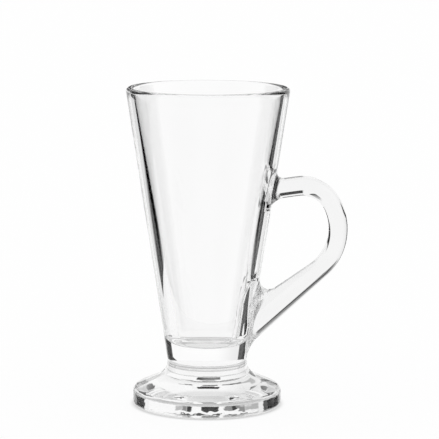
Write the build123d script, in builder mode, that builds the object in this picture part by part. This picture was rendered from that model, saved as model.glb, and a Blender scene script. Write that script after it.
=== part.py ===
from build123d import *
import math
import os

# Footed glass mug with a conical bowl and a looped handle, made of three pieces that are fused while hot.
# Millimetres, +Z up. The origin is the middle of the foot, on the table that the mug stands on.
# The handle lies in the XZ plane, on the +X side.

# Outside of the bowl and the foot
overall_height = 147.0
rim_diameter = 75.2
neck_diameter = 36.8  # at the narrowest place, where the bowl and the foot are joined
neck_height = 20.6  # of that place above the table
neck_curve_radius = 8.7  # of the hollow that runs round the neck
foot_diameter = 68.6
foot_shoulder_height = 7.6  # where the foot's sloping top would meet its outer edge
foot_shoulder_radius = 2.6
foot_edge_radius = 2.0  # round the bottom of the foot

# Inside of the bowl
rim_wall = 3.34
base_wall = 6.56  # level with the inner floor
floor_height = 28.6
floor_corner_radius = 7.0
lip_flat = 0.2  # left between the two rounds of the lip

# Handle
handle_thickness = 8.6  # seen from the side
handle_width = 10.5  # across, along Y
handle_edge_radius = 3.2
upper_arm_rise = 79.6  # of the upper arm's middle above the neck, at the bowl's wall
upper_arm_tilt = 8.0  # degrees that the upper arm climbs on its way out
upper_arm_length = 10.9  # from the bowl's wall to the shoulder's bend
shoulder_bend_radius = 15.5
shoulder_turn = 78.0  # degrees
grip_length = 1.2  # straight stretch between the two bends
heel_bend_radius = 25.0
heel_turn = 70.0  # degrees
lower_root_thickness = 13.1  # at the inner end of the lower arm
lower_root_width = 13.0
root_depth = 9.0  # how far an arm is drawn into the bowl before it is trimmed to the wall
upper_flare_radius = 2.6  # of the weld round the upper arm
lower_flare_radius = 4.4  # of the weld round the lower arm

# Rounds on the foot's edge may take up these shares at most
edge_share = 0.6  # the bottom round, of the whole edge
shoulder_share = 0.95  # the top round, of what the bottom one leaves

cubic_mm_per_ml = 1000

# Sizes that follow from these
rim_radius = rim_diameter / 2
mouth_radius = rim_radius - rim_wall
neck_radius = neck_diameter / 2
foot_radius = foot_diameter / 2
edge_round = min(foot_edge_radius, edge_share * foot_shoulder_height)
lip_radius = (rim_wall - lip_flat) / 2
upper_arm_height = neck_height + upper_arm_rise


def nearest_axis(lines):
    """Of the lines that touch the neck's hollow, the one on the side of the mug's axis."""
    return lines.sort_by(Axis.X)[0]


# The neck's hollow and the two straight lines that leave it: the bowl's side and the foot's sloping top
with BuildLine():
    hollow = CenterArc((neck_radius + neck_curve_radius, neck_height), neck_curve_radius, 0, 360)
    side = ConstrainedLines(hollow, (rim_radius, overall_height), selector=nearest_axis)
    slope = ConstrainedLines(hollow, (foot_radius, foot_shoulder_height), selector=nearest_axis)
side_start = side.vertices().sort_by(Axis.X)[0]
slope_start = slope.vertices().sort_by(Axis.X)[0]
wall_lean = (rim_radius - side_start.X) / (overall_height - side_start.Y)

# The top round of the foot's edge, limited by the straight stretch that it ends on
slope_fall = math.atan2(slope_start.Y - foot_shoulder_height, foot_radius - slope_start.X)
shoulder_reach = math.tan((math.pi / 2 - slope_fall) / 2)  # along the edge, for each mm of its radius
shoulder_room = shoulder_share * (foot_shoulder_height - edge_round)
shoulder_round = min(foot_shoulder_radius, shoulder_room / shoulder_reach)


def wall_radius(height):
    """Outer radius of the bowl's straight side."""
    return rim_radius - wall_lean * (overall_height - height)


def mug_outline():
    """Half outline of bowl and foot together, filled in as far as the axis."""
    with BuildSketch(Plane.YZ) as outline:
        with BuildLine():
            Line((rim_radius, overall_height), side_start)
            ThreePointArc(side_start, (neck_radius, neck_height), slope_start)
            Polyline(slope_start, (foot_radius, foot_shoulder_height), (foot_radius, 0), (0, 0))
            Polyline((0, 0), (0, overall_height), (rim_radius, overall_height))
        make_face()
        fillet(outline.vertices().sort_by_distance((foot_radius, 0))[0], edge_round)
        fillet(outline.vertices().sort_by_distance((foot_radius, foot_shoulder_height))[0], shoulder_round)
    return outline.sketch


# Bowl: the upper part of the outline, hollowed out, with a round lip
floor_radius = wall_radius(floor_height) - base_wall
with BuildPart() as bowl:
    revolve(mug_outline(), axis=Axis.Z)
    split(bisect_by=Plane.XY.offset(neck_height), keep=Keep.TOP)
    with BuildSketch(Plane.YZ) as cavity:
        with BuildLine():
            Polyline((0, floor_height), (floor_radius, floor_height), (mouth_radius, overall_height))
            Polyline((mouth_radius, overall_height), (0, overall_height), (0, floor_height))
        make_face()
        floor_corner = cavity.vertices().sort_by_distance((floor_radius, floor_height))[0]
        fillet(floor_corner, min(floor_corner_radius, floor_radius))
    inside = revolve(axis=Axis.Z, mode=Mode.SUBTRACT)
    fillet(bowl.edges().filter_by(GeomType.CIRCLE).group_by(Axis.Z)[-1], lip_radius)
bowl.part.label = "bowl"

# Foot: the lower part of the outline, flat underneath
with BuildPart() as foot:
    revolve(mug_outline(), axis=Axis.Z)
    split(bisect_by=Plane.XY.offset(neck_height), keep=Keep.BOTTOM)
foot.part.label = "foot"

# Middle line of the handle, from inside the upper weld to the end of the heel's bend
upper_weld = Vector(wall_radius(upper_arm_height), 0, upper_arm_height)
upper_way = Vector(1, 0, 0).rotate(Axis.Y, -upper_arm_tilt)
with BuildLine(Plane.XZ) as grip:
    upper_arm = Line(upper_weld - upper_way * root_depth, upper_weld + upper_way * upper_arm_length)
    shoulder = JernArc(upper_arm @ 1, upper_arm % 1, shoulder_bend_radius, -shoulder_turn)
    straight = Line(shoulder @ 1, shoulder @ 1 + grip_length * (shoulder % 1))
    JernArc(straight @ 1, straight % 1, heel_bend_radius, -heel_turn)

# The lower arm runs straight on from there to the bowl's wall and into it
arm_start = grip.line @ 1
arm_way = grip.line % 1
arm_length = (arm_start.X - wall_radius(arm_start.Z)) / (wall_lean * arm_way.Z - arm_way.X)
arm_end = arm_start + arm_way * (arm_length + root_depth)

# Handle: a bar on that line, welded to the outside of the bowl, whose body is then taken away again
with BuildPart() as handle:
    revolve(mug_outline(), axis=Axis.Z)
    with BuildSketch(Plane(grip.line @ 0, x_dir=(0, 1, 0), z_dir=grip.line % 0)):
        RectangleRounded(handle_width, handle_thickness, handle_edge_radius)
    sweep(path=grip.line)
    fillet(handle.edges(Select.NEW), upper_flare_radius)
    with BuildSketch(Plane(arm_start, x_dir=(0, 1, 0), z_dir=arm_way)):
        RectangleRounded(handle_width, handle_thickness, handle_edge_radius)
    with BuildSketch(Plane(arm_end, x_dir=(0, 1, 0), z_dir=arm_way)):
        RectangleRounded(lower_root_width, lower_root_thickness, handle_edge_radius)
    loft(ruled=True)
    fillet(handle.edges(Select.NEW), lower_flare_radius)
    revolve(mug_outline(), axis=Axis.Z, mode=Mode.SUBTRACT)
handle.part.label = "handle"

os.makedirs("parts", exist_ok=True)
export_step(bowl.part, "parts/bowl.step")
export_step(foot.part, "parts/foot.step")
export_step(handle.part, "parts/handle.step")
print(f"The bowl holds {inside.volume / cubic_mm_per_ml:.0f} ml to the brim")
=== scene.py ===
# %% [markdown]
# # A footed mug of clear glass
#
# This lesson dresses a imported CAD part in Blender. The part is a mug for hot coffee drinks: a tall conical
# bowl with a heavy base, a round foot and a looped handle. All three are glass, and glass has no colour of
# its own to paint. What you see of it is what its surfaces bend and mirror, so the lesson is about three
# things: exact, smooth walls, clean joints between the pieces, and something around the mug for the glass
# to show.

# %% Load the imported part
import math

import bmesh
import bpy
from mathutils import Matrix, Vector


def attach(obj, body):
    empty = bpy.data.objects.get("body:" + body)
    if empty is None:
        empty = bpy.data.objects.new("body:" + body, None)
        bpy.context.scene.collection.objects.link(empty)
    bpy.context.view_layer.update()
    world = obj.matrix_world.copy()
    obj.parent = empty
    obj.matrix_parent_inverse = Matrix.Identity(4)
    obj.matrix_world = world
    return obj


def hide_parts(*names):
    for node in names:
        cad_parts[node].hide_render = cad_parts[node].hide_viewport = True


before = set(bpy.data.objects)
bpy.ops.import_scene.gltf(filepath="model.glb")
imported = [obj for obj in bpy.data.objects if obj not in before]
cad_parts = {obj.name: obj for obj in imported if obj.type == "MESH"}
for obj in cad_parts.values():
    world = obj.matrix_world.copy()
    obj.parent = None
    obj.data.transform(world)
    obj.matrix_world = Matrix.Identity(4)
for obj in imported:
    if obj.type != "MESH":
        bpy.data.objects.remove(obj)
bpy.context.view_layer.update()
scene = bpy.context.scene
print("pieces in the part:", sorted(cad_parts))

# %% [markdown]
# ## The skin of pressed glass
#
# The mug was pressed and then fire-polished: the flame melts the mould marks away, but leaves very low
# waves, a breath of film from handling, and glass that is a shade greyer where it is thick. The three
# pieces share this effect in different amounts, so it is built once, as a node group. A group like this may
# only give out values that change over the surface; the glass shader itself, with its refractive index,
# stays in each material.

# %% The shared skin
FILM_STARTS = 0.45
FILM_FULL = 0.8


def glass_skin():
    """Node group: low waves, a faint film and a drift in the tint, all read from one set of coordinates."""
    group = bpy.data.node_groups.new("glass_skin", "ShaderNodeTree")
    sockets = group.interface
    sockets.new_socket("Coordinates", in_out="INPUT", socket_type="NodeSocketVector")
    for name, value in (("Waves", 60.0), ("Smears", 120.0), ("Film", 0.01)):
        sockets.new_socket(name, in_out="INPUT", socket_type="NodeSocketFloat").default_value = value
    for name in ("Thin Tint", "Thick Tint"):
        sockets.new_socket(name, in_out="INPUT", socket_type="NodeSocketColor").default_value = (1, 1, 1, 1)
    sockets.new_socket("Tint", in_out="OUTPUT", socket_type="NodeSocketColor")
    sockets.new_socket("Roughness", in_out="OUTPUT", socket_type="NodeSocketFloat")
    sockets.new_socket("Height", in_out="OUTPUT", socket_type="NodeSocketFloat")
    nodes = group.nodes
    links = group.links
    given = nodes.new("NodeGroupInput").outputs
    result = nodes.new("NodeGroupOutput").inputs

    def noise(scale, detail):
        texture = nodes.new("ShaderNodeTexNoise")
        texture.inputs["Detail"].default_value = detail
        links.new(given["Coordinates"], texture.inputs["Vector"])
        links.new(scale, texture.inputs["Scale"])
        return texture.outputs["Fac"]

    waves = noise(given["Waves"], detail=1.0)
    links.new(waves, result["Height"])
    film = nodes.new("ShaderNodeMapRange")
    film.interpolation_type = "SMOOTHSTEP"
    film.inputs["From Min"].default_value = FILM_STARTS
    film.inputs["From Max"].default_value = FILM_FULL
    links.new(noise(given["Smears"], detail=4.0), film.inputs["Value"])
    links.new(given["Film"], film.inputs["To Max"])
    links.new(film.outputs["Result"], result["Roughness"])
    tint = nodes.new("ShaderNodeMix")
    tint.data_type = "RGBA"
    links.new(waves, tint.inputs["Factor"])
    links.new(given["Thin Tint"], tint.inputs["A"])
    links.new(given["Thick Tint"], tint.inputs["B"])
    links.new(tint.outputs["Result"], result["Tint"])
    return group


skin = glass_skin()
print("skin group:", len(skin.nodes), "nodes")

# %% [markdown]
# ## Five finishes
#
# Each piece takes the skin with its own values: the fire-polished wall is the evenest, the foot and its
# wrinkled edge keep more of the mould's unevenness, and the drawn bar of the handle lies between. Glass
# needs a refractive index of about 1.51, full transmission and no metal, as plain numbers on the shader.
# The fifth finish is no glass at all. Where two pieces were fused while hot there is no surface left
# between them, so the faces that touch get a finish that lets light straight through, and the pieces read
# as one body of glass.

# %% Clear glass and the fused joint
INDEX = 1.51
FILM = 0.004
LOW_WAVES = 0.00001
WRINKLES = 0.00015


def clear_glass(name, thin, thick, waves, wave_height):
    """Clear glass with the shared skin; thin and thick are the greys that its two tints are made of."""
    glass = bpy.data.materials.new(name)
    glass.use_nodes = True
    nodes = glass.node_tree.nodes
    links = glass.node_tree.links
    shader = nodes["Principled BSDF"]
    shader.inputs["IOR"].default_value = INDEX
    shader.inputs["Transmission Weight"].default_value = 1.0
    place = nodes.new("ShaderNodeTexCoord")
    effect = nodes.new("ShaderNodeGroup")
    effect.node_tree = skin
    effect.inputs["Waves"].default_value = waves
    effect.inputs["Film"].default_value = FILM
    effect.inputs["Thin Tint"].default_value = (thin, thin, thin, 1)
    effect.inputs["Thick Tint"].default_value = (thick, thick, thick, 1)
    ripple = nodes.new("ShaderNodeBump")
    ripple.inputs["Distance"].default_value = wave_height
    links.new(place.outputs["Object"], effect.inputs["Coordinates"])
    links.new(effect.outputs["Tint"], shader.inputs["Base Color"])
    links.new(effect.outputs["Roughness"], shader.inputs["Roughness"])
    links.new(effect.outputs["Height"], ripple.inputs["Height"])
    links.new(ripple.outputs["Normal"], shader.inputs["Normal"])
    return glass


def see_through(name):
    """A surface that isn't there: light passes it as if the glass went on."""
    joint = bpy.data.materials.new(name)
    joint.use_nodes = True
    joint.node_tree.nodes["Principled BSDF"].inputs["Alpha"].default_value = 0.0
    return joint


wall_glass = clear_glass("wall_glass", thin=0.992, thick=0.98, waves=45.0, wave_height=LOW_WAVES)
foot_glass = clear_glass("foot_glass", thin=0.98, thick=0.96, waves=90.0, wave_height=LOW_WAVES)
edge_glass = clear_glass("edge_glass", thin=0.98, thick=0.96, waves=280.0, wave_height=WRINKLES)
bar_glass = clear_glass("bar_glass", thin=0.95, thick=0.90, waves=60.0, wave_height=LOW_WAVES)
fused = see_through("fused_joint")
print("finishes:", [m.name for m in (wall_glass, foot_glass, edge_glass, bar_glass, fused)])

# %% [markdown]
# ## A pencil for outlines
#
# Bowl and foot are turned shapes: one outline, spun about the upright axis. The outline could be a pasted
# list of points, but then nobody could read a radius in it. Here it is drawn as on paper instead. A single
# vertex is the pencil: pulling it along makes a straight stretch, and swinging it about a centre makes an
# exact arc.

# %% The pencil
def mm(*sizes):
    """A point, or one size, given in millimetres, in Blender's metres."""
    metres = [size * 0.001 for size in sizes]
    return Vector(metres) if len(metres) > 1 else metres[0]


def pull(bm, pencil, x, z, steps=1):
    """Pulls the pencil straight to a point of the XZ plane, and gives the line's new end."""
    way = (mm(x, 0, z) - pencil.co) / steps
    for _ in range(steps):
        pencil = bmesh.ops.extrude_vert_indiv(bm, verts=[pencil])["verts"][0]
        bmesh.ops.translate(bm, verts=[pencil], vec=way)
    return pencil


def swing(bm, pencil, x, z, degrees, steps):
    """Swings the pencil about a centre, clockwise as seen from the front, and gives the line's new end."""
    turned = bmesh.ops.spin(
        bm, geom=[pencil], cent=mm(x, 0, z), axis=(0, 1, 0), angle=math.radians(degrees), steps=steps)
    return [v for v in turned["geom_last"] if isinstance(v, bmesh.types.BMVert)][0]


def round_off(bm, corner, radius, degrees, segments):
    """Rounds a corner of the outline at which the line turns by so many degrees."""
    reach = radius * math.tan(math.radians(degrees) / 2)
    bmesh.ops.bevel(
        bm, geom=[corner], offset=mm(reach), offset_type="OFFSET", affect="VERTICES",
        segments=segments, profile=0.5, material=-1)


# %% [markdown]
# ## From outline to piece
#
# A lathe in code is one call: spin the outline a full turn and merge the seam. The poles on the axis come
# out as many vertices in one place, so doubles are merged before the normals are worked out. Each piece's
# first finish is its glass, the second one the fused joint, and the foot has a third. Shading is kept apart
# at the fused joints, where smooth shading would otherwise bend light round an edge that the glass doesn't
# have.

# %% The lathe
ROUND = 256
TOUCH = mm(0.0005)
FUSED = 1
WRINKLED = 2


def turn_on_lathe(bm):
    """Spins the drawn outline once round the upright axis and closes the skin."""
    bmesh.ops.spin(
        bm, geom=bm.verts[:] + bm.edges[:], cent=(0, 0, 0), axis=(0, 0, 1), angle=math.tau,
        steps=ROUND, use_merge=True)
    bmesh.ops.remove_doubles(bm, verts=bm.verts[:], dist=TOUCH)
    bmesh.ops.dissolve_degenerate(bm, edges=bm.edges[:], dist=TOUCH)
    bmesh.ops.recalc_face_normals(bm, faces=bm.faces[:])


def sharpen_joints(bm):
    """Makes the edges sharp where glass meets a fused face."""
    for edge in bm.edges:
        if len({face.material_index == FUSED for face in edge.link_faces}) > 1:
            edge.smooth = False


def fuse_level(bm, z):
    """Gives the faces that lie flat at a height the fused finish."""
    for face in bm.faces:
        if all(abs(v.co.z - mm(z)) < TOUCH for v in face.verts):
            face.material_index = FUSED


def new_piece(bm, name, finishes):
    """Makes the mesh an object at the origin, with smooth faces and its finishes."""
    sharpen_joints(bm)
    mesh = bpy.data.meshes.new(name)
    for face in bm.faces:
        face.smooth = True
    bm.to_mesh(mesh)
    bm.free()
    for finish in finishes:
        mesh.materials.append(finish)
    piece = bpy.data.objects.new(name, mesh)
    scene.collection.objects.link(piece)
    print(f"{name}: {len(mesh.vertices)} vertices, {len(mesh.polygons)} faces")
    return piece


# %% [markdown]
# ## Outside sizes
#
# Bowl and foot share one outside: a straight side, a hollow round the neck and a sloping foot. The two
# straight lines touch the hollow, so their angles aren't free. They follow from where each line ends and
# from the circle that it leaves, and the CAD part works them out in the same way. All sizes are
# millimetres.

# %% The outline that bowl and foot share
RIM = 37.6
HEIGHT = 147.0
NECK = 18.4
NECK_Z = 20.6
HOLLOW = 8.7
FOOT = 34.3
SHOULDER_Z = 7.6

hollow_x = NECK + HOLLOW
side_run = math.atan2(HEIGHT - NECK_Z, RIM - hollow_x)
side_dip = math.asin(HOLLOW / math.hypot(HEIGHT - NECK_Z, RIM - hollow_x))
side_turn = 90 - math.degrees(side_run - side_dip)
lean = math.tan(math.radians(side_turn))
slope_run = math.atan2(NECK_Z - SHOULDER_Z, hollow_x - FOOT)
slope_dip = math.asin(HOLLOW / math.hypot(NECK_Z - SHOULDER_Z, hollow_x - FOOT))
slope_turn = math.degrees(slope_run + slope_dip) - 90
print(f"the bowl's side leans {side_turn:.2f} degrees, the foot's top falls {90 - slope_turn:.2f} degrees")


def wall_at(z):
    """Outer radius of the bowl's straight side at a height."""
    return RIM - lean * (HEIGHT - z)


# %% [markdown]
# ## The bowl
#
# The bowl is one pull of glass: 3.3 mm thick at the lip, and thicker towards the base, because the inside
# leans more than the outside. The dark line that runs down each side of such a mug is where the view stops
# passing through the drink's space and starts to run inside the wall, so its place is a measure of the
# wall. The inside ends in a rounded floor above a solid base, and the lip is rounded by the flame.

# %% Inside sizes of the bowl
FLOOR_Z = 28.6
RIM_WALL = 3.34
LIP_ROUND = 1.57
FLOOR_ROUND = 7.0
INSIDE_LEAN = 10.2

mouth = RIM - RIM_WALL
inside_turn = 90 - INSIDE_LEAN
corner_z = FLOOR_Z + FLOOR_ROUND * (1 - math.cos(math.radians(inside_turn)))
corner_x = mouth - (HEIGHT - corner_z) * math.tan(math.radians(INSIDE_LEAN))
floor_flat = corner_x - FLOOR_ROUND * math.sin(math.radians(inside_turn))
print(f"the floor is flat to {floor_flat:.1f} mm and its corner ends at {corner_x:.1f}, {corner_z:.1f} mm")

# %% Turn the bowl
bm = bmesh.new()
pen = bm.verts.new(mm(0, 0, NECK_Z))
pen = pull(bm, pen, NECK, NECK_Z)
pen = swing(bm, pen, hollow_x, NECK_Z, side_turn, steps=6)
lip_outside = pull(bm, pen, RIM, HEIGHT, steps=24)
lip_inside = pull(bm, lip_outside, mouth, HEIGHT)
pen = pull(bm, lip_inside, corner_x, corner_z, steps=24)
pen = swing(bm, pen, floor_flat, FLOOR_Z + FLOOR_ROUND, inside_turn, steps=24)
pull(bm, pen, 0, FLOOR_Z, steps=4)
round_off(bm, lip_outside, LIP_ROUND, 90 + side_turn, segments=12)
round_off(bm, lip_inside, LIP_ROUND, 90 - INSIDE_LEAN, segments=12)
turn_on_lathe(bm)
fuse_level(bm, NECK_Z)
bowl = new_piece(bm, "bowl_glass", [wall_glass, fused])

# %% [markdown]
# ## The foot
#
# The foot is a second gather of glass, pressed and stuck to the base at the neck. Its top slopes down to an
# upright edge with small rounds. Its underside is flat: seen through the sloping top it is a mirror, and a
# hollow in it would bend what shows there. The edge chilled first when the hot glass met the mould, so it
# keeps wrinkles that the rest lost in the flame. Its faces get the wrinkled finish.

# %% Turn the foot
EDGE_ROUND = 2.0
SHOULDER_ROUND = 2.6
CHILLED = 1.8

bm = bmesh.new()
pen = bm.verts.new(mm(0, 0, NECK_Z))
pen = pull(bm, pen, NECK, NECK_Z)
pen = swing(bm, pen, hollow_x, NECK_Z, -slope_turn, steps=24)
shoulder = pull(bm, pen, FOOT, SHOULDER_Z, steps=6)
edge = pull(bm, shoulder, FOOT, 0)
pull(bm, edge, 0, 0, steps=4)
round_off(bm, shoulder, SHOULDER_ROUND, slope_turn, segments=16)
round_off(bm, edge, EDGE_ROUND, 90, segments=16)
turn_on_lathe(bm)
fuse_level(bm, NECK_Z)
for face in bm.faces:
    if face.calc_center_median().xy.length > mm(FOOT - CHILLED):
        face.material_index = WRINKLED
foot = new_piece(bm, "foot_glass", [foot_glass, fused, edge_glass])

# %% [markdown]
# ## The handle's bar
#
# The handle was drawn as a bar with rounded corners, bent while soft and laid on. Sweeping a curve would
# give the bends, but not the flared welds at its ends. So one section is made first, at the top of the
# shoulder, and then carried both ways: spun round the bends, pulled along the arms and flared out on the
# wall.

# %% The bar's section
BAR = 8.6
BAR_WIDE = 10.5
BAR_EDGE = 3.2
FLAT = 1.5
ARM_Z = 101.9
BEND_X = 43.4

bm = bmesh.new()
bmesh.ops.create_grid(bm, x_segments=1, y_segments=1, size=0.5)
bmesh.ops.scale(bm, verts=bm.verts[:], vec=(mm(BAR), mm(BAR_WIDE), 1))
bmesh.ops.bevel(
    bm, geom=bm.verts[:], offset=mm(BAR_EDGE), offset_type="OFFSET", affect="VERTICES",
    segments=10, profile=0.5, material=-1)
bmesh.ops.delete(bm, geom=bm.faces[:], context="FACES_ONLY")
flats = [e for e in bm.edges if e.calc_length() > mm(FLAT)]
bmesh.ops.subdivide_edges(bm, edges=flats, cuts=4)
upright = Matrix.Rotation(math.radians(90), 3, "Y")
bmesh.ops.rotate(bm, verts=bm.verts[:], cent=(0, 0, 0), matrix=upright)
bmesh.ops.translate(bm, verts=bm.verts[:], vec=mm(BEND_X, 0, ARM_Z))
section = bm.edges[:]
print(f"the bar's section has {len(section)} edges")

# %% [markdown]
# ## Two bends
#
# The grip is two arcs with a short straight stretch between them. Spin turns the open end of the bar about
# the middle of each bend, and a plain extrusion carries it on between. The same call with a negative angle
# carries the shoulder's arc back a little over the top, so that the upper arm climbs away from the bowl.

# %% Bend the bar
SHOULDER_BEND = 15.5
HEEL_BEND = 25.0
TURN = 70.0
GRIP = 1.2
ARCH = 8.0


def corners(edges):
    """The vertices of an open end."""
    return list({v for e in edges for v in e.verts})


def middle_of(edges):
    """The middle of an open end."""
    verts = corners(edges)
    return sum((v.co for v in verts), Vector()) / len(verts)


def open_end(made):
    """The edges that a fresh extrusion ends on."""
    verts = {g for g in made if isinstance(g, bmesh.types.BMVert)}
    return [g for g in made if isinstance(g, bmesh.types.BMEdge) and verts.issuperset(g.verts)]


def bend(bm, loop, radius, way, degrees, steps):
    """Bends the bar downwards to the right, as seen from the front, on from the direction that it has."""
    centre = middle_of(loop) + mm(radius) * Vector((way.z, 0, -way.x))
    made = bmesh.ops.spin(
        bm, geom=loop + corners(loop), cent=centre, axis=(0, 1, 0), angle=math.radians(degrees), steps=steps)
    return [g for g in made["geom_last"] if isinstance(g, bmesh.types.BMEdge)]


def heading(degrees):
    """A direction in the handle's plane, so many degrees below level."""
    angle = math.radians(degrees)
    return Vector((math.cos(angle), 0, -math.sin(angle)))


upper = bend(bm, section, SHOULDER_BEND, heading(0), -ARCH, steps=4)
loop = bend(bm, section, SHOULDER_BEND, heading(0), TURN, steps=28)
made = bmesh.ops.extrude_edge_only(bm, edges=loop)["geom"]
loop = open_end(made)
bmesh.ops.translate(bm, verts=corners(loop), vec=heading(TURN) * mm(GRIP))
loop = bend(bm, loop, HEEL_BEND, heading(TURN), TURN, steps=40)
print("the lower arm starts at", [round(c * 1000, 1) for c in middle_of(loop)], "mm")

# %% [markdown]
# ## Welds that lie on the wall
#
# Soft glass spreads where it is pressed on: the arm ends in a flare that lies on the wall almost without an
# edge. Each vertex of the bar's open end runs along the arm, then turns outwards on its own arc until it
# meets the wall. The arcs are wide below, where the glass sagged while it was hot, and tight above. Where a
# line meets a leaning cone is found by halving: walk along the arm, and keep the half in which the wall
# lies.

# %% Where the wall is
NEAREST = mm(-20)
FARTHEST = mm(80)
HALVINGS = 50


def to_wall(point, way):
    """How far along a direction the bowl's straight side lies from a point."""
    near = NEAREST
    far = FARTHEST
    for _ in range(HALVINGS):
        halfway = (near + far) / 2
        place = point + way * halfway
        if math.hypot(place.x, place.y) > mm(wall_at(place.z / mm(1))):
            near = halfway
        else:
            far = halfway
    return far


def wall_normal(point):
    """The way out of the bowl's side at a point of it."""
    return (Vector((point.x, point.y, 0)).normalized() - Vector((0, 0, lean))).normalized()


def skin_normals(loop, way):
    """The way out of the bar's skin at each vertex of an open end."""
    middle = middle_of(loop)
    normals = {}
    for v in corners(loop):
        ends = [e.other_vert(v).co for e in v.link_edges if e in loop]
        out = (ends[0] - ends[1]).cross(way).normalized()
        normals[v] = out if out.dot(v.co - middle) > 0 else -out
    return normals


# %% Run an arm to the wall and flare it
SUNK = mm(0.02)


def by_side(tall, above, beside, below):
    """Blends three values by how much a skin faces up or down."""
    return (above if tall > 0 else below) * abs(tall) + beside * (1 - abs(tall))


def weld(bm, loop, way, swell, radii, shares, run_steps, flare_steps):
    """Runs the bar's open end to the bowl's side, flares it there and closes it with a cap on the glass."""
    middle = middle_of(loop)
    up = Vector((-way.z, 0, way.x)) if way.x > 0 else Vector((way.z, 0, -way.x))
    plan = {}
    for v, out in skin_normals(loop, way).items():
        spoke = v.co - middle
        grown = up * spoke.dot(up) * swell[0] + Vector((0, spoke.y * swell[1], 0))
        corner = middle + grown + way * to_wall(middle + grown, way)
        normal = wall_normal(corner)
        tall = out.dot(up)
        radius = mm(by_side(tall, *radii))
        turn = math.atan2(-way.dot(normal), out.dot(normal)) * by_side(tall, *shares)
        rise = radius * (1 - math.cos(turn))
        back = radius * math.sin(turn) + rise * out.dot(normal) / way.dot(normal)
        plan[v] = (v.co.copy(), corner - way * back, out, radius, turn)

    for step in range(1, run_steps + flare_steps + 1):
        made = bmesh.ops.extrude_edge_only(bm, edges=loop)["geom"]
        loop = open_end(made)
        ends = corners(loop)
        before = [next(e.other_vert(v) for e in v.link_edges if e.other_vert(v) in plan) for v in ends]
        plan = {v: plan[old] for v, old in zip(ends, before)}
        for v, (start, begin, out, radius, turn) in plan.items():
            if step <= run_steps:
                v.co = start.lerp(begin, step / run_steps)
                continue
            angle = turn * (step - run_steps) / flare_steps
            v.co = begin + way * radius * math.sin(angle) + out * radius * (1 - math.cos(angle))
    for v in corners(loop):
        v.co += way * to_wall(v.co, way)
        v.co -= wall_normal(v.co) * SUNK
    return bmesh.ops.contextual_create(bm, geom=loop)["faces"]


# %% [markdown]
# ## Both arms
#
# The lower arm grows thicker on its way to the base and hangs into the wall with a long tail. The upper one
# is shorter, with a tight flare on top and a slack one below. The swell is how much the bar grows in height
# and in width. The flares are the arcs' radii above, beside and below the bar, and the shares say how much
# of the turn on to the wall each arc makes.

# %% Weld both arms
LOWER_SWELL = (1.42, 1.2)
LOWER_FLARES = (4.6, 4.5, 18.0)
LOWER_SHARES = (0.98, 0.9, 0.98)
UPPER_SWELL = (1.0, 1.0)
UPPER_FLARES = (3.2, 3.0, 9.0)
UPPER_SHARES = (0.95, 0.9, 0.6)

lower_way = heading(2 * TURN)
upper_way = heading(180 - ARCH)
caps = weld(bm, loop, lower_way, LOWER_SWELL, LOWER_FLARES, LOWER_SHARES, run_steps=10, flare_steps=16)
caps += weld(bm, upper, upper_way, UPPER_SWELL, UPPER_FLARES, UPPER_SHARES, run_steps=6, flare_steps=14)
bmesh.ops.recalc_face_normals(bm, faces=bm.faces[:])
for cap in caps:
    cap.material_index = FUSED
handle = new_piece(bm, "handle_glass", [bar_glass, fused])

# %% [markdown]
# ## Fusing the handle to the bowl
#
# The handle's caps lie a hair below the wall's surface. A Boolean takes that hair of glass off the bowl, so
# the two pieces meet face to face. The new faces take the finish of the cap that cut them, which is the
# fused one, and light passes from one piece to the other as in a single body.

# %% Cut the handle's beds into the bowl
bed = bowl.modifiers.new("handle_bed", "BOOLEAN")
bed.operation = "DIFFERENCE"
bed.solver = "EXACT"
bed.object = handle
bed.material_mode = "TRANSFER"
shown = bpy.context.evaluated_depsgraph_get()
fitted = bpy.data.meshes.new_from_object(bowl.evaluated_get(shown))
bowl.modifiers.clear()
bm = bmesh.new()
bm.from_mesh(fitted)
sharpen_joints(bm)
bm.to_mesh(fitted)
bm.free()
bowl.data = fitted
print("bowl with its beds:", len(fitted.vertices), "vertices,", [m.name for m in fitted.materials])

# %% [markdown]
# ## Taking the places of the solids
#
# Each piece now stands for one solid of the part: it rides on the part's only body, and the plain solid is
# hidden.

# %% Dress the frame
for piece, node in ((bowl, "bowl"), (foot, "foot"), (handle, "handle")):
    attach(piece, "root")
    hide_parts(node)
    print(piece.name, "replaces", node)

# %% [markdown]
# ## Sums in node trees
#
# Paper, shadow cards and room all work with sums of plain values, so two helpers make the nodes for them:
# one for a single sum, and one for a value that goes smoothly from one number to another.

# %% Sums and ramps
def maths(tree, operation, *values):
    """A Math node; each value is a plain number or the output of another node."""
    node = tree.nodes.new("ShaderNodeMath")
    node.operation = operation
    for socket, value in zip(node.inputs, values):
        if isinstance(value, (int, float)):
            socket.default_value = value
        else:
            tree.links.new(value, socket)
    return node.outputs["Value"]


def ramp(tree, value, start, end, low=0.0, high=1.0):
    """Goes smoothly from the low to the high value while another value goes from start to end."""
    node = tree.nodes.new("ShaderNodeMapRange")
    node.interpolation_type = "SMOOTHSTEP"
    for name, number in (("From Min", start), ("From Max", end), ("To Min", low), ("To Max", high)):
        node.inputs[name].default_value = number
    tree.links.new(value, node.inputs["Value"])
    return node.outputs["Result"]
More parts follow.
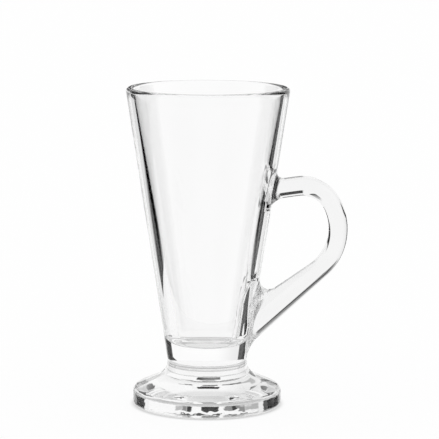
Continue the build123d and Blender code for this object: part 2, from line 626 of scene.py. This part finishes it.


# %% [markdown]
# ## White paper
#
# The mug stands on plain white paper. The camera sees the paper as pure white, with a trace of the mug's
# shadow, so most of the white comes from a glow that only camera rays and rays through glass or off glass
# meet. For all other light the paper is an ordinary pale surface. Round the foot a shadow is painted into
# the glow, for the camera and for the glass alike. Light gets under the foot through the glass, so the
# painted shadow is a ring below the foot's edge: darkest there, soft on the outside and nearly gone in the
# middle.

# %% The paper's finish
PAPER = (0.97, 0.97, 0.97, 1)
PAPER_ROUGH = 0.8
GLOW = 0.97
GLOW_SHARE = 0.92
PAINTED_SHADOW = 0.55
PAINTED_SHADOW_MIDDLE = 0.85
RING_OUTSIDE = (FOOT - 2.3, FOOT + 2.2)
RING_INSIDE = (FOOT - 14.0, FOOT - 7.0)


def white_paper(name):
    """Paper that shows white to the camera and in glass, but for a shadow painted into its glow round the
    foot's edge.
    """
    paper = bpy.data.materials.new(name)
    paper.use_nodes = True
    tree = paper.node_tree
    shader = tree.nodes["Principled BSDF"]
    shader.inputs["Base Color"].default_value = PAPER
    shader.inputs["Roughness"].default_value = PAPER_ROUGH
    place = tree.nodes.new("ShaderNodeTexCoord")
    distance = tree.nodes.new("ShaderNodeVectorMath")
    distance.operation = "LENGTH"
    tree.links.new(place.outputs["Object"], distance.inputs["Vector"])
    radius = distance.outputs["Value"]
    # The two ramps paint the shadow ring into the glow's strength.
    outside = ramp(tree, radius, *mm(*RING_OUTSIDE), PAINTED_SHADOW, 1.0)
    inside = ramp(tree, radius, *mm(*RING_INSIDE), PAINTED_SHADOW_MIDDLE, 0.0)
    seen = tree.nodes.new("ShaderNodeLightPath").outputs
    brightness = maths(tree, "MAXIMUM", seen["Is Camera Ray"], GLOW)
    light = tree.nodes.new("ShaderNodeEmission")
    lit = maths(tree, "MULTIPLY", brightness, maths(tree, "MAXIMUM", outside, inside))
    tree.links.new(lit, light.inputs["Strength"])
    by_glass = maths(tree, "MAXIMUM", seen["Is Glossy Ray"], seen["Is Transmission Ray"])
    share = maths(tree, "MULTIPLY", maths(tree, "MAXIMUM", seen["Is Camera Ray"], by_glass), GLOW_SHARE)
    mix = tree.nodes.new("ShaderNodeMixShader")
    tree.links.new(share, mix.inputs["Fac"])
    tree.links.new(shader.outputs["BSDF"], mix.inputs[1])
    tree.links.new(light.outputs["Emission"], mix.inputs[2])
    tree.links.new(mix.outputs["Shader"], tree.nodes["Material Output"].inputs["Surface"])
    return paper


paper = white_paper("white_paper")
print("paper:", len(paper.node_tree.nodes), "nodes")

# %% [markdown]
# ## The table, and the paper that the glass shows
#
# Through the glass, the view bends down on the paper near the mug and out to the sides. The endless table
# would fill the whole lower half of that view with white, so it is hidden from rays through glass. A round
# mat takes its place there, no larger than the lit part of the paper. It lies a hair below the foot: if it
# touched the flat underside, it would take the mirror's place.

# %% Table and mat
TABLE = 12000.0
MAT = 165.0
MAT_X = -30.0
MAT_Z = -0.05


def lay_sheet(bm, name, finish):
    """Makes a flat mesh a staged object, which isn't part of the mug."""
    mesh = bpy.data.meshes.new(name)
    mesh.materials.append(finish)
    bm.to_mesh(mesh)
    bm.free()
    sheet = bpy.data.objects.new(name, mesh)
    scene.collection.objects.link(sheet)
    return sheet


def keep_for_glass(sheet):
    """Hides a sheet from all light that hasn't met the glass."""
    sheet.visible_camera = False
    sheet.visible_diffuse = False
    sheet.visible_shadow = False


bm = bmesh.new()
bmesh.ops.create_grid(bm, x_segments=1, y_segments=1, size=mm(TABLE) / 2)
table = lay_sheet(bm, "paper_table", paper)
table.visible_transmission = False
table.visible_glossy = False

bm = bmesh.new()
bmesh.ops.create_circle(bm, cap_ends=True, segments=96, radius=mm(MAT))
bmesh.ops.translate(bm, verts=bm.verts[:], vec=mm(MAT_X, 0, MAT_Z))
mat = lay_sheet(bm, "paper_mat", paper)
keep_for_glass(mat)
mat.visible_glossy = False
print(f"table: {TABLE:.0f} mm wide, mat: {MAT:.0f} mm in radius")

# %% [markdown]
# ## Cards of painted shadow behind the foot
#
# The lower half of the foot's edge looks, by way of the mirror under it, at the paper right behind the mug.
# Three small cards lie there as a painted shadow of the mug on that paper: a black one in the middle and a
# grey one on each side. They are for the mirror alone, so their finish lets all light through that was not
# mirrored in the glass. Light Path counts how often light was mirrored, and halfway between two counts is
# a safe place to tell them apart.

# %% Cards of painted shadow
SHADOW_CARD_FRONT = 46.0
SHADOW_CARD_BACK = 74.0
SHADOW_CARD_Z = 0.1
SHADOW_CARD_ROUGH = 0.9
HALFWAY = 0.5
SHADOW_BLACK = 0.01
SHADOW_GREY = 0.2
SHADOW_CARDS = (
    ("shadow_card_black", -13.0, 4.0, SHADOW_BLACK),
    ("shadow_card_left", -42.0, -16.0, SHADOW_GREY),
    ("shadow_card_right", 9.0, 36.0, SHADOW_GREY),
)


def shadow_card_finish(name, grey):
    """A plain card of painted shadow, which only mirrored light meets."""
    finish = bpy.data.materials.new(name)
    finish.use_nodes = True
    tree = finish.node_tree
    shader = tree.nodes["Principled BSDF"]
    shader.inputs["Base Color"].default_value = (grey, grey, grey, 1)
    shader.inputs["Roughness"].default_value = SHADOW_CARD_ROUGH
    path = tree.nodes.new("ShaderNodeLightPath")
    mirrored = maths(tree, "GREATER_THAN", path.outputs["Glossy Depth"], HALFWAY)
    clear = tree.nodes.new("ShaderNodeBsdfTransparent")
    mix = tree.nodes.new("ShaderNodeMixShader")
    tree.links.new(mirrored, mix.inputs["Fac"])
    tree.links.new(clear.outputs["BSDF"], mix.inputs[1])
    tree.links.new(shader.outputs["BSDF"], mix.inputs[2])
    tree.links.new(mix.outputs["Shader"], tree.nodes["Material Output"].inputs["Surface"])
    return finish


# Each card lays a patch of painted shadow on the paper behind the foot, and only the foot's mirror shows it.
for name, left, right, grey in SHADOW_CARDS:
    bm = bmesh.new()
    bmesh.ops.create_grid(bm, x_segments=1, y_segments=1, size=0.5)
    bmesh.ops.scale(bm, verts=bm.verts[:], vec=(mm(right - left), mm(SHADOW_CARD_BACK - SHADOW_CARD_FRONT), 1))
    middle = mm((left + right) / 2, (SHADOW_CARD_FRONT + SHADOW_CARD_BACK) / 2, SHADOW_CARD_Z)
    bmesh.ops.translate(bm, verts=bm.verts[:], vec=middle)
    shadow_sheet = lay_sheet(bm, name, shadow_card_finish(name, grey))
    keep_for_glass(shadow_sheet)
    print(f"{name}: from {left:.0f} to {right:.0f} mm")

# %% [markdown]
# ## A white room with black flags
#
# In front of nothing but white, clear glass all but vanishes. Photographers draw its edges with black
# flags: boards that stand left and right of the white screen, just outside the picture. The wall and the
# thick base bend the view out to the sides, and where it meets a flag the glass shows a crisp black line.
# The room itself is pale, a little dimmer on the left, overhead and behind the camera. Low down, where the
# paper would be, the back is as bright as the front. The camera sees all of it as white, like the paper,
# and so does the light that falls on the paper. Boards and room are fixed: they stay where they are when
# the camera moves.

# %% Directions in the room
world = bpy.data.worlds.new("white_room")
scene.world = world
world.use_nodes = True
tree = world.node_tree

view = tree.nodes.new("ShaderNodeTexCoord")
way = tree.nodes.new("ShaderNodeSeparateXYZ")
tree.links.new(view.outputs["Generated"], way.inputs["Vector"])
above = maths(tree, "DEGREES", maths(tree, "ARCSINE", way.outputs["Z"]))
to_right = maths(tree, "DEGREES", maths(tree, "ARCTAN2", way.outputs["X"], way.outputs["Y"]))
print("directions in", world.name + ":", len(tree.nodes), "nodes")

# %% Pale room
LEFT_DIM = 0.84
BACK_DIM = 0.75
TOP_DIM = 0.8
LEFT_FADE = (-0.6, -0.1)
BACK_FADE = (-1.0, 0.0)
PAPER_FADE = (-15.0, -5.0)
TOP_FADE = (36.0, 48.0)

dim_left = ramp(tree, way.outputs["X"], *LEFT_FADE, LEFT_DIM, 1.0)
dim_back = ramp(tree, way.outputs["Y"], *BACK_FADE, BACK_DIM, 1.0)
paper_below = ramp(tree, above, *PAPER_FADE, 1.0, 0.0)
dim_above = ramp(tree, above, *TOP_FADE, 1.0, TOP_DIM)
around = maths(tree, "MULTIPLY", dim_left, maths(tree, "MAXIMUM", dim_back, paper_below))
pale = maths(tree, "MULTIPLY", around, dim_above)
print(f"brightness: {LEFT_DIM} on the left, {BACK_DIM} behind the camera, {TOP_DIM} overhead")

# %% [markdown]
# ## Flags at the sides, stands behind
#
# Two flags draw the wall's lines and the dark bars of the base. The right one leans, so its edge moves over
# as it goes down. The left one has a skirt, low down, for the light that runs twice round inside the wall.
# The foot shows another part of the room: its flat underside is a mirror, so the upper half of its edge
# looks up at the stands and curtains behind the mug, and shows them as dark bars. Each board is four angles
# in degrees (left, right, low and high) and how dark it is. The flags end about 21 degrees below level, so
# that a view from higher up looks past them.

# %% Boards
RIGHT_FLAG = (46.5, 84.0, -20.5, 18.0, 1.0)
BOARDS = (
    (-80.0, -38.0, -20.5, 18.0, 1.0),  # left flag
    (-38.0, -22.0, -20.5, -16.0, 1.0),  # its skirt
    (-6.0, 2.6, 3.0, 15.0, 1.0),  # wide stand
    (-5.0, 4.4, 24.0, 31.0, 1.0),  # lamp
    (-9.5, 7.7, 31.0, 36.5, 1.0),  # its hood
    (-16.2, -12.8, 3.0, 15.0, 1.0),  # left stand
    (8.3, 10.3, 3.0, 15.0, 1.0),  # right stand
    (-21.3, -8.5, 3.0, 15.0, 0.75),  # left curtain
    (10.3, 13.0, 3.0, 15.0, 0.75),  # right curtain
    (-32.5, -21.3, 6.2, 15.0, 0.5),  # thin cloth on the left
    (13.0, 17.2, 6.2, 15.0, 0.5),  # thin cloth on the right
)
SOFT_SIDES = 0.5
SOFT_ENDS = 1.0


def within(value, low, high, soft):
    """One between two angles and zero outside, with soft edges."""
    past_low = ramp(tree, value, low - soft, low + soft)
    past_high = ramp(tree, value, high - soft, high + soft, 1.0, 0.0)
    return maths(tree, "MULTIPLY", past_low, past_high)


def board(across, left, right, low, high, shade):
    """A dark patch in the room, as dark as its shade."""
    in_width = within(across, left, right, SOFT_SIDES)
    in_height = within(above, low, high, SOFT_ENDS)
    return maths(tree, "MULTIPLY", maths(tree, "MULTIPLY", in_width, in_height), shade)


slanted = maths(tree, "SUBTRACT", to_right, maths(tree, "MINIMUM", above, 0.0))
dark = board(slanted, *RIGHT_FLAG)
for sizes in BOARDS:
    dark = maths(tree, "MAXIMUM", dark, board(to_right, *sizes))
print("boards:", len(BOARDS) + 1)

# %% [markdown]
# ## White behind the glass
#
# From some sides a flag stands right behind the bowl, and a clear glass with a black board behind it looks
# like a dark glass. So the boards fade for light that went straight through both walls, which is four
# surfaces and no mirroring on the way: there the glass shows the pale room, as it shows the white behind it
# in the main view. Light that took another way through the glass still meets the boards and draws the
# edges.

# %% Boards that fade behind the bowl
FADE = 0.88
BOTH_WALLS = 4

seen = tree.nodes.new("ShaderNodeLightPath").outputs
crossed = maths(tree, "GREATER_THAN", seen["Transmission Depth"], BOTH_WALLS - HALFWAY)
unmirrored = maths(tree, "LESS_THAN", seen["Glossy Depth"], HALFWAY)
faded = maths(tree, "MULTIPLY", maths(tree, "MULTIPLY", crossed, unmirrored), FADE)
shade = maths(tree, "MULTIPLY", dark, maths(tree, "SUBTRACT", 1.0, faded))
room = maths(tree, "MULTIPLY", pale, maths(tree, "SUBTRACT", 1.0, shade))
white_for = maths(tree, "MAXIMUM", seen["Is Camera Ray"], seen["Is Diffuse Ray"])
tree.links.new(maths(tree, "MAXIMUM", room, white_for), tree.nodes["Background"].inputs["Color"])
print("room:", len(tree.nodes), "nodes")

# %% [markdown]
# ## The camera
#
# The view is that of a long lens, a metre away and a little above the mug. Its place was found by laying
# the outline of the rim, the neck and the foot over the picture. Shifting the lens, instead of turning the
# camera, puts the mug where the picture has it.

# %% Camera
FRAME_WIDE = 439.0
FOCUS = 2271.5
AXIS_X = 207.5
AXIS_Y = 252.03
LOOK_DOWN = 9.573
ROLL = 0.2
SENSOR = 36.0
CAMERA_Y = -1030.4
CAMERA_Z = 244.8

lens = bpy.data.cameras.new("camera")
lens.sensor_width = SENSOR
lens.lens = FOCUS / FRAME_WIDE * SENSOR
lens.shift_x = 0.5 - AXIS_X / FRAME_WIDE
lens.shift_y = AXIS_Y / FRAME_WIDE - 0.5
camera = bpy.data.objects.new("camera", lens)
camera.location = mm(0, CAMERA_Y, CAMERA_Z)
tilt = Matrix.Rotation(math.radians(90 - LOOK_DOWN), 3, "X")
camera.rotation_euler = (tilt @ Matrix.Rotation(math.radians(ROLL), 3, "Z")).to_euler()
scene.collection.objects.link(camera)
scene.camera = camera
print(f"lens: {lens.lens:.0f} mm")

# %% [markdown]
# ## Before the picture is taken
#
# Light crosses many glass surfaces here, so the limits on its bounces are raised far enough that few paths
# are cut off dark.

# %% Finish
scene.view_settings.view_transform = "Standard"
scene.cycles.max_bounces = 32
scene.cycles.glossy_bounces = 24
scene.cycles.transmission_bounces = 32
scene.cycles.transparent_max_bounces = 32
